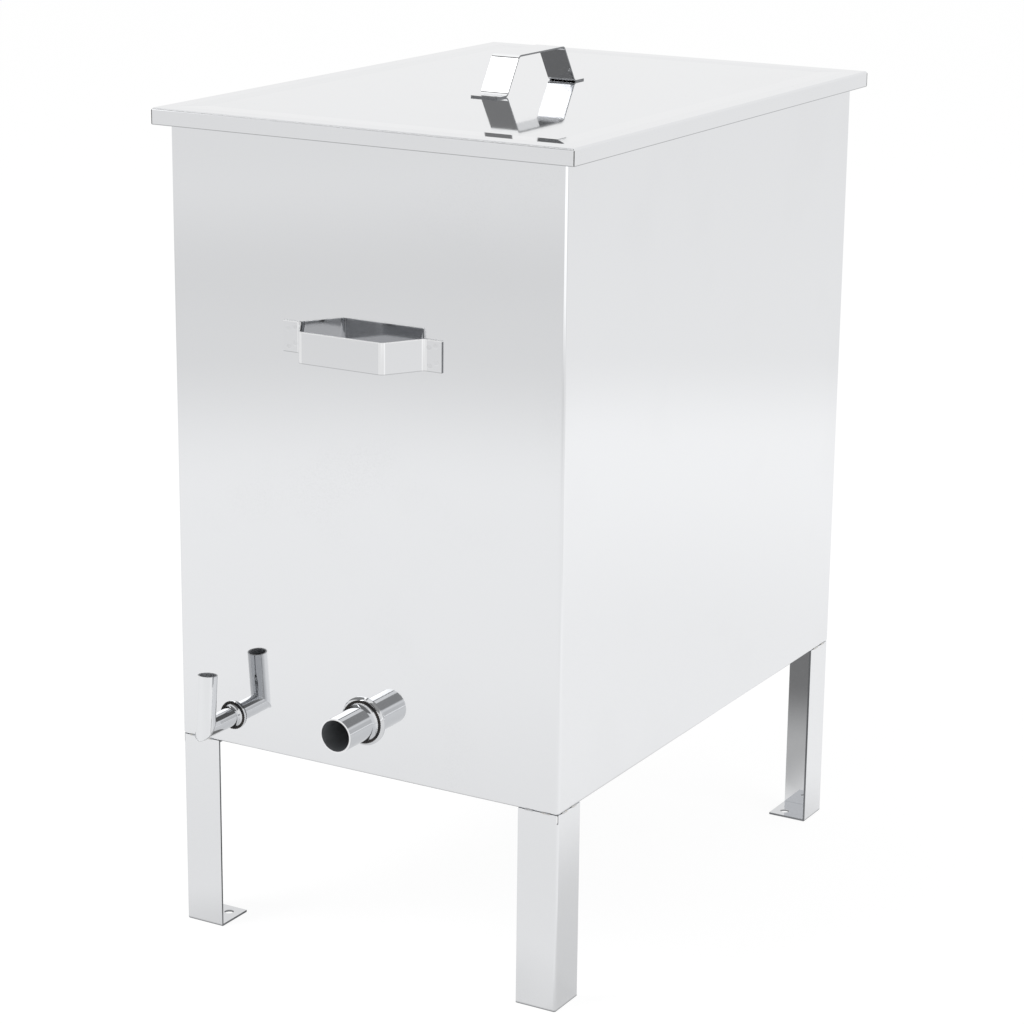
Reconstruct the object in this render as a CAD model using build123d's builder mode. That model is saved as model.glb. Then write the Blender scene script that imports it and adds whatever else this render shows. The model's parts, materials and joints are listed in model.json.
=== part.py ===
from build123d import *

import os
from math import cos, radians, sin, tan

# Steam wax melter of bright stainless sheet. Water boils on the tank's floor, steam rises round the wax
# tray into the comb basket, and the melted wax runs down the sloping tray and out of the front outlet.
# Millimetres, +Z up. The origin is on the floor, at the middle of the four feet. +X runs to the right
# along the front wall and +Y runs from the front wall to the rear wall.

# Tank
tank_width = 400.0
tank_depth = 570.0
tank_height = 582.0
tank_sheet = 1.2
corner_bend = 3.5
edge_bend = 2.5
rim_flange = 6.0
base_flange = 20.0
floor_sheet = 1.5

# Legs
leg_height = 186.0
leg_width = 40.0
leg_sheet = 2.0
leg_inset = 0.5
leg_bend = 2.5
foot_bend = 1.2
foot_hole_radius = 4.5
foot_hole_edge = 12.0
relief_length = 8.0
relief_width = 1.4
relief_depth = 8.0

# Lid
lid_sheet = 1.2
lid_rim = 15.0
lid_play = 4.3
lid_bend = 2.0
lid_corner = 1.0

# Strap handles, the same on the lid, the front wall and the rear wall
strap_width = 28.0
strap_sheet = 1.5
strap_bend = 4.5
grip_length = 83.0
grip_standoff = 35.5
strap_base = 126.0
strap_tab = 18.0
wall_handle_height = 393.0

# Wax outlet
outlet_height = 50.0
outlet_radius = 16.0
outlet_wall = 1.5
outlet_reach = 46.0
outlet_root_radius = 22.5
outlet_root_length = 10.0

# Water-filling elbow
fill_edge = 58.0
fill_height = 29.0
fill_radius = 9.0
fill_wall = 1.2
fill_reach = 44.0
riser_lean = 5.5
fill_top = 79.0
fill_inside = 3.0
fill_root_radius = 13.5
fill_root_length = 7.0
dressed_depth = 0.3
dressed_margin = 2.0

# Flared root of both tubes, and the narrower neck that passes through the wall
root_lip = 0.8
root_hollow = 0.15
neck_step = 0.5

# Wax tray and its stands
tray_sheet = 1.0
tray_side_gap = 23.8
tray_end_gap = 12.0
tray_sump = 0.5
tray_rise = 45.0
tray_rim = 120.0
stand_sheet = 2.0
stand_bend = 3.0
stand_width = 240.0
stand_length = 50.0
stand_foot = 15.0
stand_inset = 92.0

# Ledges that carry the basket
ledge_height = 126.0
ledge_leg = 20.0
ledge_sheet = 2.0
ledge_length = 60.0
ledge_inset = 83.8

# Comb basket
basket_sheet = 1.0
basket_side_gap = 11.8
basket_end_gap = 15.0
basket_height = 320.0
basket_rim_bar = 5.0
basket_rim_proud = 1.0
floor_hole_radius = 4.0
floor_hole_pitch = 30.0
floor_hole_margin = 36.0
slot_width = 6.0
slot_length = 60.0
slot_pitch = 34.0
slot_rows = 3
slot_row_pitch = 90.0
slot_margin = 40.0

# Drop handles of the basket
wire_radius = 3.0
ear_spacing = 120.0
ear_sheet = 2.0
ear_height = 18.0
ear_corner = 3.0
ear_below_rim = 3.0
pivot_inset = 9.0
bail_end = 6.0
bail_neck = 11.0
bail_drop = 65.0
bail_bend = 8.0

# Clearances
seat_clearance = 0.2
weld_clearance = 0.1
running_clearance = 0.08

# Levels and half sizes that follow
front = tank_depth / 2
side = tank_width / 2
tank_base = leg_height
tank_top = tank_base + tank_height
floor_top = tank_base + tank_sheet + floor_sheet
inner_width = tank_width - 2 * tank_sheet
inner_depth = tank_depth - 2 * tank_sheet
outlet_z = tank_base + outlet_height
fill_z = tank_base + fill_height
fill_x = fill_edge - side
outlet_neck = outlet_radius - neck_step
fill_neck = fill_radius - neck_step


def write_piece(piece, name):
    piece.part.label = name
    export_step(piece.part, f"parts/{name}.step")


def flat_faces(piece):
    return piece.faces().filter_by(Axis.Z).sort_by(Axis.Z)


os.makedirs("parts", exist_ok=True)

# Tank walls: one sheet bent at four corners, with the top edge turned out and the bottom edge turned in
with BuildPart() as tank_wrap:
    with BuildSketch(Plane.XY.offset(tank_base)):
        RectangleRounded(tank_width, tank_depth, corner_bend)
        RectangleRounded(inner_width, inner_depth, corner_bend - tank_sheet, mode=Mode.SUBTRACT)
    extrude(amount=tank_height)
    with BuildSketch(Plane.XY.offset(tank_base)):
        RectangleRounded(tank_width, tank_depth, corner_bend)
        Rectangle(tank_width - 2 * base_flange, tank_depth - 2 * base_flange, mode=Mode.SUBTRACT)
    extrude(amount=tank_sheet)
    with BuildSketch(Plane.XY.offset(tank_top - tank_sheet)):
        RectangleRounded(tank_width + 2 * rim_flange, tank_depth + 2 * rim_flange, corner_bend + rim_flange)
        RectangleRounded(inner_width, inner_depth, corner_bend - tank_sheet, mode=Mode.SUBTRACT)
    extrude(amount=tank_sheet)
    fillet(flat_faces(tank_wrap)[0].outer_wire().edges(), edge_bend)
    fillet(flat_faces(tank_wrap)[1].outer_wire().edges(), edge_bend - tank_sheet)
    fillet(flat_faces(tank_wrap)[2].inner_wires()[0].edges(), edge_bend - tank_sheet)
    fillet(flat_faces(tank_wrap)[3].inner_wires()[0].edges(), edge_bend)
    with BuildSketch(Plane.XZ.offset(front)):
        with Locations((0, outlet_z)):
            Circle(outlet_neck + weld_clearance)
        with Locations((fill_x, fill_z)):
            Circle(fill_neck + weld_clearance)
    extrude(amount=-2 * tank_sheet, mode=Mode.SUBTRACT)
write_piece(tank_wrap, "tank_wrap")

# Tank floor: a flat plate inside the walls, on their turned-in edge
floor_edge = edge_bend - tank_sheet + seat_clearance
with BuildPart() as tank_floor:
    with BuildSketch(Plane.XY.offset(tank_base + tank_sheet)):
        RectangleRounded(inner_width - 2 * floor_edge, inner_depth - 2 * floor_edge, corner_bend)
    extrude(amount=floor_sheet)
write_piece(tank_floor, "tank_floor")

# Legs: folded angles with a holed foot plate and a top plate under the tank, slit at the top corner
leg_x = side - leg_inset
leg_y = front - leg_inset
for row, y_side in (("front", -1), ("rear", 1)):
    for hand, x_side in (("left", -1), ("right", 1)):
        plate_at = (x_side * (leg_x - leg_width / 2), y_side * (leg_y - leg_width / 2))
        corner_at = (x_side * leg_x, y_side * leg_y)
        to_hole = leg_width - foot_hole_edge
        hole_at = (x_side * (leg_x - to_hole), y_side * (leg_y - to_hole))
        with BuildPart() as leg:
            with BuildSketch(Plane.XY):
                with Locations((plate_at[0], y_side * (leg_y - leg_sheet / 2))):
                    Rectangle(leg_width, leg_sheet)
                with Locations((x_side * (leg_x - leg_sheet / 2), plate_at[1])):
                    Rectangle(leg_sheet, leg_width)
            extrude(amount=leg_height)
            with BuildSketch(Plane.XY, Plane.XY.offset(leg_height - leg_sheet)):
                with Locations(plate_at):
                    Rectangle(leg_width, leg_width)
            extrude(amount=leg_sheet)
            fillet(leg.edges().filter_by(Axis.Z).sort_by_distance((*corner_at, leg_height / 2))[0], leg_bend)
            fillet(flat_faces(leg)[0].edges().filter_by(Axis.X).sort_by_distance((*corner_at, 0))[0], foot_bend)
            with Locations((*hole_at, leg_sheet / 2)):
                Cylinder(foot_hole_radius, 2 * leg_sheet, mode=Mode.SUBTRACT)
            with Locations((*corner_at, leg_height)):
                Box(
                    2 * relief_length,
                    relief_width,
                    2 * relief_depth,
                    rotation=(0, 0, 45 * x_side * y_side),
                    mode=Mode.SUBTRACT,
                )
        write_piece(leg, f"leg_{row}_{hand}")


# Strap handle: a flat strip bent up into a trapezoid with two tabs that are spot-welded to the sheet.
# The plane's X runs along the handle, its Y points away from the sheet, and its origin is on the sheet.
def strap_handle(plane):
    half_tab = strap_base / 2 + strap_tab
    inner_standoff = grip_standoff - strap_sheet
    outer_bend = strap_bend + strap_sheet
    with BuildPart() as handle:
        with BuildSketch(plane):
            with BuildLine():
                under = FilletPolyline(
                    (-half_tab, 0),
                    (-strap_base / 2, 0),
                    (-grip_length / 2, inner_standoff),
                    (grip_length / 2, inner_standoff),
                    (strap_base / 2, 0),
                    (half_tab, 0),
                    radius=[outer_bend, strap_bend, strap_bend, outer_bend],
                )
                offset(under, amount=strap_sheet, side=Side.LEFT)
            make_face()
        extrude(amount=strap_width / 2, both=True)
    return handle


lid_under = tank_top + seat_clearance
lid_top = lid_under + lid_sheet
handle_z = tank_base + wall_handle_height
front_handle = strap_handle(Plane((0, -front, handle_z), x_dir=(1, 0, 0), z_dir=(0, 0, -1)))
write_piece(front_handle, "front_handle")
rear_handle = strap_handle(Plane((0, front, handle_z), x_dir=(1, 0, 0), z_dir=(0, 0, 1)))
write_piece(rear_handle, "rear_handle")
lid_handle = strap_handle(Plane((0, 0, lid_top), x_dir=(0, 1, 0), z_dir=(1, 0, 0)))
write_piece(lid_handle, "lid_handle")

# Lid: a flat sheet with four edges turned down and welded at the corners
lid_overhang = rim_flange + lid_play + lid_sheet
lid_width = tank_width + 2 * lid_overhang
lid_depth = tank_depth + 2 * lid_overhang
with BuildPart() as lid_pan:
    with BuildSketch(Plane.XY.offset(lid_top - lid_rim)):
        Rectangle(lid_width, lid_depth)
    extrude(amount=lid_rim)
    fillet(lid_pan.edges().filter_by(Axis.Z), lid_corner)
    fillet(flat_faces(lid_pan)[-1].outer_wire().edges(), lid_bend)
    with BuildSketch(Plane.XY.offset(lid_top - lid_rim)):
        Rectangle(lid_width - 2 * lid_sheet, lid_depth - 2 * lid_sheet)
    extrude(amount=lid_rim - lid_sheet, mode=Mode.SUBTRACT)
write_piece(lid_pan, "lid_pan")

# Wax tray: a pan above the water whose floor falls to the outlet at the front
tray_width = inner_width - 2 * tray_side_gap
tray_depth = inner_depth - 2 * tray_end_gap
tray_low = outlet_z - outlet_neck - tray_sump
tray_top = tank_base + tray_rim
tray_slope = tray_rise / tray_depth


def tray_floor_at(y):
    return tray_low + tray_slope * (y + tray_depth / 2)


with BuildPart() as wax_tray:
    for inset, mode in ((0, Mode.ADD), (tray_sheet, Mode.SUBTRACT)):
        end = tray_depth / 2 - inset
        lift = inset - tray_sheet
        with BuildSketch(Plane.YZ.offset(inset - tray_width / 2)):
            with BuildLine():
                Polyline(
                    (-end, tray_floor_at(-end) + lift),
                    (end, tray_floor_at(end) + lift),
                    (end, tray_top),
                    (-end, tray_top),
                    close=True,
                )
            make_face()
        extrude(amount=tray_width - 2 * inset, mode=mode)
    with BuildSketch(Plane.XZ.offset(tray_depth / 2)):
        with Locations((0, outlet_z)):
            Circle(outlet_neck + weld_clearance)
    extrude(amount=-2 * tray_sheet, mode=Mode.SUBTRACT)
write_piece(wax_tray, "wax_tray")

# Tray stands: bent straps from the tank's floor up to the underside of the sloping tray
for row, y_side in (("front", -1), ("rear", 1)):
    stand_y = y_side * (tray_depth / 2 - stand_inset)
    low_end = stand_y - stand_length / 2
    high_end = stand_y + stand_length / 2
    foot_top = floor_top + stand_sheet
    seat_drop = tray_sheet + seat_clearance
    with BuildPart() as tray_stand:
        with BuildSketch(Plane.YZ.offset(-stand_width / 2)):
            with BuildLine():
                upper = FilletPolyline(
                    (low_end - stand_foot, foot_top),
                    (low_end, foot_top),
                    (low_end, tray_floor_at(low_end) - seat_drop),
                    (high_end, tray_floor_at(high_end) - seat_drop),
                    (high_end, foot_top),
                    (high_end + stand_foot, foot_top),
                    radius=stand_bend,
                )
                offset(upper, amount=stand_sheet, side=Side.RIGHT)
            make_face()
        extrude(amount=stand_width)
    write_piece(tray_stand, f"tray_stand_{row}")


# Tube welded into the front wall: a neck reaches inside through the wall, and the root is flared where
# the tube leaves it. The outer end lists points of radius and reach in front of the wall.
def wall_tube(x, z, radius, wall, root_radius, root_length, inside, outer_end):
    bore = radius - wall
    neck = radius - neck_step
    mouth = outer_end[-1][1]
    with BuildPart() as tube:
        with BuildSketch(Plane((x, -front, z), x_dir=(1, 0, 0), z_dir=(0, 0, -1))):
            with BuildLine():
                Polyline(
                    (radius, root_length),
                    *outer_end,
                    (bore, mouth),
                    (bore, -inside),
                    (neck, -inside),
                    (neck, 0),
                    (root_radius, 0),
                    (root_radius, root_lip),
                )
                SagittaArc((root_radius, root_lip), (radius, root_length), root_hollow * root_length)
            make_face()
        revolve(axis=Axis((x, -front, z), (0, -1, 0)))
    return tube


# Wax outlet: a thin tube from inside the tray, through the front wall
outlet_inside = front - tray_depth / 2 + tray_sheet
outlet_tube = wall_tube(
    0,
    outlet_z,
    outlet_radius,
    outlet_wall,
    outlet_root_radius,
    outlet_root_length,
    outlet_inside,
    [(outlet_radius, outlet_reach)],
)
write_piece(outlet_tube, "outlet_tube")

# Water-filling elbow: a spigot through the wall and a riser that leans a little towards the wall. They
# are cut and welded in the plane that halves the angle between them. The weld is ground flush, so both
# tubes taper a little towards it.
elbow_at = (fill_x, -front - fill_reach, fill_z)
lean = radians(riser_lean)
mitre = Plane(elbow_at, x_dir=(1, 0, 0), z_dir=(0, 1 - sin(lean), -cos(lean)))
mitre_reach = fill_radius / tan(radians(90 - riser_lean) / 2)
dressed_radius = fill_radius - dressed_depth
straight_spigot = wall_tube(
    fill_x,
    fill_z,
    fill_radius,
    fill_wall,
    fill_root_radius,
    fill_root_length,
    tank_sheet + fill_inside,
    [
        (fill_radius, fill_reach - mitre_reach - dressed_margin),
        (dressed_radius, fill_reach + mitre_reach),
    ],
)
with BuildPart() as fill_spigot:
    add(straight_spigot.part)
    split(bisect_by=mitre, keep=Keep.TOP)
write_piece(fill_spigot, "fill_spigot")

riser_bore = fill_radius - fill_wall
riser_length = (fill_top - fill_height) / cos(lean)
with BuildPart() as fill_riser:
    with BuildSketch(Plane(elbow_at, x_dir=(1, 0, 0), z_dir=(0, -cos(lean), sin(lean)))):
        with BuildLine():
            Polyline(
                (riser_bore, -mitre_reach),
                (dressed_radius, -mitre_reach),
                (fill_radius, mitre_reach + dressed_margin),
                (fill_radius, riser_length),
                (riser_bore, riser_length),
                close=True,
            )
        make_face()
    revolve(axis=Axis(elbow_at, (0, sin(lean), cos(lean))))
    split(bisect_by=mitre, keep=Keep.BOTTOM)
write_piece(fill_riser, "fill_riser")

# Ledges: short angles on the side walls that carry the basket and leave gaps for the steam
ledge_top = tank_base + ledge_height
ledge_x = inner_width / 2
ledge_y = inner_depth / 2 - ledge_inset
for row, y_side in (("front", -1), ("rear", 1)):
    for hand, x_side in (("left", -1), ("right", 1)):
        with BuildPart() as ledge:
            with BuildSketch(Plane.XZ.offset(-y_side * ledge_y)):
                with Locations((x_side * (ledge_x - ledge_leg / 2), ledge_top - ledge_sheet / 2)):
                    Rectangle(ledge_leg, ledge_sheet)
                with Locations((x_side * (ledge_x - ledge_sheet / 2), ledge_top - ledge_leg / 2)):
                    Rectangle(ledge_sheet, ledge_leg)
            extrude(amount=ledge_length / 2, both=True)
        write_piece(ledge, f"ledge_{row}_{hand}")

# Basket floor: a perforated plate on the ledges
basket_width = inner_width - 2 * basket_side_gap
basket_depth = inner_depth - 2 * basket_end_gap
basket_base = ledge_top + seat_clearance
panel_base = basket_base + basket_sheet
panel_top = panel_base + basket_height
hole_columns = 1 + int((basket_width - 2 * floor_hole_margin) / floor_hole_pitch)
hole_rows = 1 + int((basket_depth - 2 * floor_hole_margin) / floor_hole_pitch)
with BuildPart() as basket_floor:
    with BuildSketch(Plane.XY.offset(basket_base)):
        Rectangle(basket_width, basket_depth)
        with GridLocations(floor_hole_pitch, floor_hole_pitch, hole_columns, hole_rows):
            Circle(floor_hole_radius, mode=Mode.SUBTRACT)
    extrude(amount=basket_sheet)
write_piece(basket_floor, "basket_floor")


# Basket panel: a flat slotted sheet. The plane's X runs along the panel, its Y points up, and its origin
# is at the middle of the panel's lower edge, on the outer face.
def slotted_panel(plane, length):
    slot_columns = 1 + int((length - 2 * slot_margin) / slot_pitch)
    with BuildPart() as panel:
        with BuildSketch(plane):
            with Locations((0, basket_height / 2)):
                Rectangle(length, basket_height)
                with GridLocations(slot_pitch, slot_row_pitch, slot_columns, slot_rows):
                    SlotOverall(slot_length, slot_width, rotation=90, mode=Mode.SUBTRACT)
        extrude(amount=-basket_sheet)
    return panel


end_length = basket_width - 2 * basket_sheet
panel_places = (
    ("basket_front", (0, -basket_depth / 2), (1, 0, 0), (0, -1, 0), end_length),
    ("basket_rear", (0, basket_depth / 2), (-1, 0, 0), (0, 1, 0), end_length),
    ("basket_left", (-basket_width / 2, 0), (0, -1, 0), (-1, 0, 0), basket_depth),
    ("basket_right", (basket_width / 2, 0), (0, 1, 0), (1, 0, 0), basket_depth),
)
for name, foot, along, outward, length in panel_places:
    panel_plane = Plane((*foot, panel_base), x_dir=along, z_dir=outward)
    write_piece(slotted_panel(panel_plane, length), name)

# Basket rim: a square bar frame on the panels' top edges
rim_width = basket_width + 2 * basket_rim_proud
rim_depth = basket_depth + 2 * basket_rim_proud
with BuildPart() as basket_rim:
    with BuildSketch(Plane.XY.offset(panel_top)):
        RectangleRounded(rim_width, rim_depth, basket_rim_bar)
        Rectangle(rim_width - 2 * basket_rim_bar, rim_depth - 2 * basket_rim_bar, mode=Mode.SUBTRACT)
    extrude(amount=basket_rim_bar)
write_piece(basket_rim, "basket_rim")

# Drop handles: wire bails that hang inside the basket's ends from two drilled ears each
pivot_z = panel_top - ear_below_rim - ear_height / 2
ear_reach = pivot_inset + ear_height / 2
ear_x = ear_spacing / 2
neck_x = ear_x - bail_neck
for row, y_side in (("front", -1), ("rear", 1)):
    panel_face = basket_depth / 2 - basket_sheet
    pivot_y = y_side * (panel_face - pivot_inset)
    with BuildPart() as bail_ears:
        with BuildSketch(*(Plane.YZ.offset(x_side * ear_x - ear_sheet / 2) for x_side in (-1, 1))):
            with Locations((y_side * (panel_face - ear_reach / 2), pivot_z)):
                RectangleRounded(ear_reach, ear_height, ear_corner)
                with Locations((y_side * (ear_reach - ear_corner) / 2, 0)):
                    Rectangle(ear_corner, ear_height)
            with Locations((pivot_y, pivot_z)):
                Circle(wire_radius + running_clearance, mode=Mode.SUBTRACT)
        extrude(amount=ear_sheet)
    write_piece(bail_ears, f"bail_ears_{row}")

    with BuildPart() as bail:
        with BuildLine(Plane.XZ.offset(-pivot_y)) as bail_path:
            FilletPolyline(
                (-ear_x - bail_end, pivot_z),
                (-neck_x, pivot_z),
                (-neck_x, pivot_z - bail_drop),
                (neck_x, pivot_z - bail_drop),
                (neck_x, pivot_z),
                (ear_x + bail_end, pivot_z),
                radius=bail_bend,
            )
        with BuildSketch(Plane(bail_path.line @ 0, z_dir=bail_path.line % 0)):
            Circle(wire_radius)
        sweep()
    write_piece(bail, f"bail_{row}")
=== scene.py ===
# %% [markdown]
# # A wax melter in bright stainless sheet
# The melter is a tank on four folded legs, with a loose lid, strap handles and two tubes. The packed
# model already has every piece at its real size, so this script only dresses it: it adds the finish of
# each surface, the welds that hold the pieces together, and the studio that the bright sheet mirrors.

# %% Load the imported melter
import json
import math

import bpy
import bmesh
from mathutils import Matrix, Vector


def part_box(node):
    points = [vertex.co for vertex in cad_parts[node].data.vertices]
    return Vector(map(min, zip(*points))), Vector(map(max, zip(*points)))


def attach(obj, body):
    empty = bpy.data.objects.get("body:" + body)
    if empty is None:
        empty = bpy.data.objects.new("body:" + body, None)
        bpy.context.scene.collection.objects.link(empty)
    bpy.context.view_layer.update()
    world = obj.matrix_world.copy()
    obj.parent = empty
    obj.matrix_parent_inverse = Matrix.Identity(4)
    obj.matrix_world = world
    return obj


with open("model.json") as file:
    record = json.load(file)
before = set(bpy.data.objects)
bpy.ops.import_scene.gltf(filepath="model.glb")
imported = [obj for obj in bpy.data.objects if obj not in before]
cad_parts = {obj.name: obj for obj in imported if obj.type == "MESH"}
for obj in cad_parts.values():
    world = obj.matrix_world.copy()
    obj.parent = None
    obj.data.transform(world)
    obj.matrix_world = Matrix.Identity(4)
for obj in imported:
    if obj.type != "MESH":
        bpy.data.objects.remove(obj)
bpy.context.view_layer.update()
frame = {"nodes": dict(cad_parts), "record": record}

nodes = frame["nodes"]

# %% [markdown]
# ## The camera
# The picture was taken from the front right corner, a little above the lid, with a long lens. Turning the
# melter's own axes into the picture's axes needs three angles, and the lens follows from how strongly the
# sides draw together. The camera is built from its right, up and back directions, so that the angles stay
# readable as numbers.

# %% Place the camera
PICTURE_AZIMUTH = math.radians(29.836)
PICTURE_ELEVATION = math.radians(15.844)
PICTURE_ROLL = math.radians(0.618)
PICTURE_LENS = 102.74
CAMERA_AT = Vector((1.3383, -2.3558, 1.1304))

level_back = Vector((math.sin(PICTURE_AZIMUTH), -math.cos(PICTURE_AZIMUTH), 0))
camera_back = level_back * math.cos(PICTURE_ELEVATION) + Vector((0, 0, math.sin(PICTURE_ELEVATION)))
level_right = Vector((math.cos(PICTURE_AZIMUTH), math.sin(PICTURE_AZIMUTH), 0))
level_up = camera_back.cross(level_right)
camera_right = level_right * math.cos(PICTURE_ROLL) + level_up * math.sin(PICTURE_ROLL)
camera_up = camera_back.cross(camera_right)

camera_data = bpy.data.cameras.new("picture_camera")
camera_data.sensor_width = 36.0
camera_data.lens = PICTURE_LENS
camera_data.clip_end = 50.0
camera = bpy.data.objects.new("picture_camera", camera_data)
turn = Matrix((camera_right, camera_up, camera_back)).transposed()
camera.matrix_world = Matrix.Translation(CAMERA_AT) @ turn.to_4x4()
bpy.context.scene.collection.objects.link(camera)
bpy.context.scene.camera = camera
bpy.context.scene.view_settings.view_transform = "Standard"
print("camera", [round(c, 3) for c in camera.location], "lens", camera_data.lens)

# %% [markdown]
# ## The studio
# Bright sheet has almost no colour of its own: it shows the room. The walls of the tank mirror the floor,
# the lid mirrors the backdrop, and the bends and tubes sweep across everything between them. So the room
# that mirrored rays see is white with a few dark and bright things in it, as a real studio is. A
# photographed room would do this too, but a few named angles are easier to change.
#
# A node tree is a long row of small sums. The helpers below add a node, feed a socket with a link or with
# a number, and make the soft-edged masks that the room, the floor and the finishes are built from.

# %% Helpers for node trees
def add_node(tree, kind, **settings):
    node = tree.nodes.new(kind)
    for key, value in settings.items():
        setattr(node, key, value)
    return node


def feed(tree, socket, value):
    if isinstance(value, bpy.types.NodeSocket):
        tree.links.new(value, socket)
    else:
        socket.default_value = value


def math_node(tree, operation, *values, clamp=False):
    node = add_node(tree, "ShaderNodeMath", operation=operation, use_clamp=clamp)
    for socket, value in zip(node.inputs, values):
        feed(tree, socket, value)
    return node.outputs[0]


def vector_node(tree, operation, *values):
    node = add_node(tree, "ShaderNodeVectorMath", operation=operation)
    for socket, value in zip(node.inputs, values):
        feed(tree, socket, value)
    return node.outputs


def product(tree, first, *others):
    for other in others:
        first = math_node(tree, "MULTIPLY", first, other)
    return first


def axes(tree, coordinates):
    node = add_node(tree, "ShaderNodeSeparateXYZ")
    feed(tree, node.inputs[0], add_node(tree, "ShaderNodeTexCoord").outputs[coordinates])
    return node.outputs


def mix_shaders(tree, share, first, second):
    node = add_node(tree, "ShaderNodeMixShader")
    for socket, value in zip(node.inputs, (share, first.outputs[0], second.outputs[0])):
        feed(tree, socket, value)
    return node.outputs[0]


print("helpers for nodes ready")

# %% Helpers for soft masks
RAMP_SOCKETS = ("From Min", "From Max", "To Min", "To Max")


def ramp(tree, value, low, high, to_low=0.0, to_high=1.0):
    node = add_node(tree, "ShaderNodeMapRange", interpolation_type="SMOOTHSTEP")
    for name, number in zip(RAMP_SOCKETS, (low, high, to_low, to_high)):
        node.inputs[name].default_value = number
    feed(tree, node.inputs["Value"], value)
    return node.outputs["Result"]


def fade(tree, value, full, gone):
    return ramp(tree, value, full, gone, 1.0, 0.0)


def band(tree, value, low, low_full, high_full, high):
    return product(tree, ramp(tree, value, low, low_full), fade(tree, value, high_full, high))


def toned(tree, tone, mask, factor):
    change = product(tree, mask, 1 - factor)
    return product(tree, tone, math_node(tree, "SUBTRACT", 1.0, change))


print("helpers for masks ready")

# %% [markdown]
# Each thing in the room is a mask over the direction of a mirrored ray: how far that goes to the right,
# to the front and upward, as shares of its length. Heights are easier to think of as angles, so they are
# turned into shares. There is a dark ceiling round the overhead light. At the front left stand a soft
# light and, under it, a dark flag with a gap that shows a bright strip. Behind the camera hang a dark
# drape with a fold and a lamp stand, with a dull flank to their right.

# %% Things in the room
CEILING_EDGE = (46.6, 47.4)
SOFTBOX_FOOT = (41.0, 43.0)
FLAG_FOOT = (1.0, 3.0)
FLAG_TOP = (41.0, 42.5)
DRAPE_FOOT = (10.0, 15.0)
GAP_EDGES = (0.745, 0.76, 0.795, 0.81)
DRAPE_EDGES = (-0.09, -0.05, 0.45, 0.52)
STAND_EDGES = (-0.375, -0.36, -0.325, -0.31)


def heights(degrees):
    return [math.sin(math.radians(angle)) for angle in degrees]


world = bpy.data.worlds.new("white_studio")
bpy.context.scene.world = world
world.use_nodes = True
room = world.node_tree
room.nodes.clear()
to_right, to_rear, upward = axes(room, "Generated")
to_front = product(room, to_rear, -1.0)

ceiling = product(room, ramp(room, upward, *heights(CEILING_EDGE)), ramp(room, to_front, 0.08, 0.2))
front_left = product(room, ramp(room, to_front, 0.3, 0.4), fade(room, to_right, -0.46, -0.42))
softbox = product(room, front_left, ramp(room, upward, *heights(SOFTBOX_FOOT)),
                  fade(room, upward, *heights(CEILING_EDGE)))
gap = band(room, to_front, *GAP_EDGES)
flag = product(room, front_left, math_node(room, "SUBTRACT", 1.0, gap),
               ramp(room, upward, *heights(FLAG_FOOT)), fade(room, upward, *heights(FLAG_TOP)))
left_strip = product(room, gap, fade(room, to_right, -0.4, -0.36))
right_flank = product(room, gap, ramp(room, to_right, 0.545, 0.58))
behind_camera = product(room, ramp(room, to_front, 0.66, 0.72), ramp(room, upward, *heights(DRAPE_FOOT)))
drape = product(room, behind_camera, band(room, to_right, *DRAPE_EDGES))
fold = product(room, drape, fade(room, to_front, 0.768, 0.782))
stand = product(room, behind_camera, band(room, to_right, *STAND_EDGES))
print("mask nodes", len(room.nodes))

# %% Tones of the room
BACKDROP_TONE = 0.93
THINGS = (
    ("softbox", softbox, 3.0),
    ("left strip", left_strip, 1.8),
    ("ceiling", ceiling, 0.22),
    ("right flank", right_flank, 0.76),
    ("flag", flag, 0.28),
    ("drape", drape, 0.36),
    ("fold", fold, 0.31),
    ("lamp stand", stand, 0.12),
)
room_tone = ramp(room, to_rear, 0.2, 0.5, 1.0, BACKDROP_TONE)
for thing, mask, tone in THINGS:
    room_tone = toned(room, room_tone, mask, tone)
    print(thing, "tone", tone)

# %% [markdown]
# Only mirrored rays meet these things. The camera sees plain white behind the melter. The light that the
# room scatters on dull surfaces is even and a little weaker, so that corners keep some depth.

# %% Light the room
SCATTERED_LIGHT = 0.85

rays = add_node(room, "ShaderNodeLightPath").outputs
mirrored = rays["Is Glossy Ray"]
plain_white = math_node(room, "SUBTRACT", 1.0, mirrored)
seen_tone = math_node(room, "ADD", product(room, mirrored, room_tone), plain_white)
seen = math_node(room, "ADD", rays["Is Camera Ray"], mirrored)
seen = math_node(room, "ADD", seen, rays["Is Transmission Ray"], clamp=True)
shown_room = add_node(room, "ShaderNodeBackground")
feed(room, shown_room.inputs["Color"], seen_tone)
scattering_room = add_node(room, "ShaderNodeBackground")
scattering_room.inputs["Strength"].default_value = SCATTERED_LIGHT
room_light = mix_shaders(room, seen, scattering_room, shown_room)
feed(room, add_node(room, "ShaderNodeOutputWorld").inputs["Surface"], room_light)
print("room nodes", len(room.nodes))

# %% [markdown]
# The floor is a wide disc. Straight to the camera it is nearly pure white with a faint shadow, and in the
# sheet's reflections it counts as a real floor with light and dark places. One paint does both, because a
# paint can ask which kind of ray has met it.

# %% Lay the floor
FLOOR_RADIUS = 9.0
FLOOR_SIDES = 72

floor_mesh = bpy.data.meshes.new("studio_floor")
shape = bmesh.new()
bmesh.ops.create_circle(shape, cap_ends=True, segments=FLOOR_SIDES, radius=FLOOR_RADIUS)
shape.to_mesh(floor_mesh)
shape.free()
floor = bpy.data.objects.new("studio_floor", floor_mesh)
bpy.context.scene.collection.objects.link(floor)

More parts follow.
